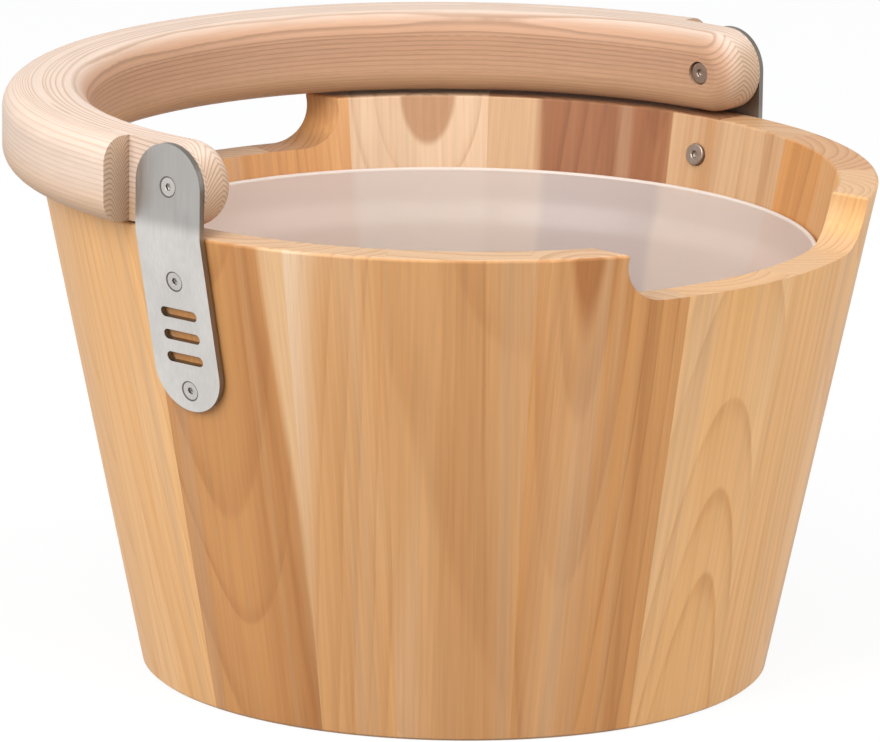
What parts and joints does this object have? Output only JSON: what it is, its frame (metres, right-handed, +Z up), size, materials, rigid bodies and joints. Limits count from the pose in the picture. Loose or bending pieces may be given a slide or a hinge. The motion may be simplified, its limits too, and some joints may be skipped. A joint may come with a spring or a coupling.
{
  "type": "sauna bucket",
  "caption": "Conical stave-built wooden sauna bucket with finger notches in the rim, a frosted plastic liner and a swinging half-ring handle on bent steel straps.",
  "frame": {"origin": "centre of the foot, on the floor and on the bucket's axis", "axes": "+Z up along the bucket's axis, +Y through the plain strap and along the handle's pivot line, +X through the notch that faces away from the lying handle"},
  "size_m": [0.3309, 0.3468, 0.2263],
  "materials": {
    "stave_wood": "sanded and oiled",
    "board_wood": "sanded",
    "handle_wood": "sanded pale wood",
    "liner_plastic": "frosted, translucent",
    "strap_steel": "brushed",
    "screw_steel": "plain stainless",
    "nut_steel": "plain stainless"
  },
  "bodies": {
    "bucket": {"stave_01": "stave_wood", "stave_02": "stave_wood", "stave_03": "stave_wood", "stave_04": "stave_wood", "stave_05": "stave_wood", "stave_06": "stave_wood", "stave_07": "stave_wood", "stave_08": "stave_wood", "stave_09": "stave_wood", "stave_10": "stave_wood", "stave_11": "stave_wood", "stave_12": "stave_wood", "stave_13": "stave_wood", "stave_14": "stave_wood", "stave_15": "stave_wood", "stave_16": "stave_wood", "stave_17": "stave_wood", "stave_18": "stave_wood", "base_board": "board_wood", "liner": "liner_plastic", "strap_near": "strap_steel", "strap_far": "strap_steel", "screw_near_pivot": "screw_steel", "screw_near_high": "screw_steel", "screw_near_low": "screw_steel", "screw_far_pivot": "screw_steel", "screw_far_high": "screw_steel", "screw_far_low": "screw_steel", "nut_near_pivot": "nut_steel", "nut_near_high": "nut_steel", "nut_near_low": "nut_steel", "nut_far_pivot": "nut_steel", "nut_far_high": "nut_steel", "nut_far_low": "nut_steel"},
    "handle": {"handle": "handle_wood"}
  },
  "joints": [
    {"name": "handle_swing", "type": "hinge", "parent": "bucket", "child": "handle", "pos_m": [0, 0, 0.2101], "axis": [0, 1, 0], "range_deg": [0, 180]}
  ]
}
